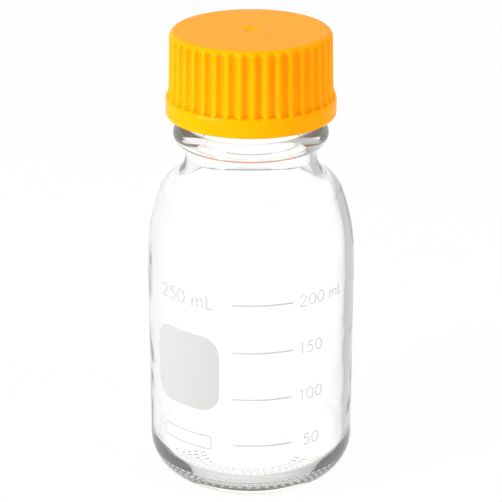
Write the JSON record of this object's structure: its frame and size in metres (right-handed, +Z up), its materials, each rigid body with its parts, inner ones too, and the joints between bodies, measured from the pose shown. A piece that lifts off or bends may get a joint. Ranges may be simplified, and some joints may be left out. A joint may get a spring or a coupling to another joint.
{
  "type": "reagent bottle",
  "caption": "Clear glass reagent bottle with rounded shoulder, printed volume scale and writing patch, pouring ring, and ribbed screw cap that rises as it turns.",
  "frame": {"origin": "centre of the foot ring, on the plane that the bottle stands on", "axes": "+Z up along the bottle's axis, printed scale towards -Y"},
  "size_m": [0.068, 0.0681, 0.1528],
  "materials": {
    "clear_glass": "clear borosilicate glass, fire polished",
    "ring_plastic": "moulded polypropylene, natural white",
    "cap_plastic": "moulded polypropylene, satin",
    "liner_rubber": "moulded silicone disc",
    "white_enamel": "fired ceramic enamel, matt"
  },
  "bodies": {
    "bottle": {"bottle_glass": "clear_glass", "pouring_ring": "ring_plastic", "graduation_lines": "white_enamel", "writing_patch": "white_enamel"},
    "liner": {"cap_liner": "liner_rubber"},
    "cap": {"screw_cap": "cap_plastic"}
  },
  "joints": [
    {"name": "cap_rise", "type": "slide", "parent": "bottle", "child": "liner", "axis": [0, 0, 1], "range_m": [0, 0.0281]},
    {"name": "cap_turn", "type": "hinge", "parent": "liner", "child": "cap", "pos_m": [0, 0, 0.1395], "axis": [0, 0, 1], "range_deg": [0, 2520]}
  ],
  "couplings": [
    {"joint": "cap_rise", "follows": "cap_turn", "m_per_rad": 0.00063662}
  ]
}
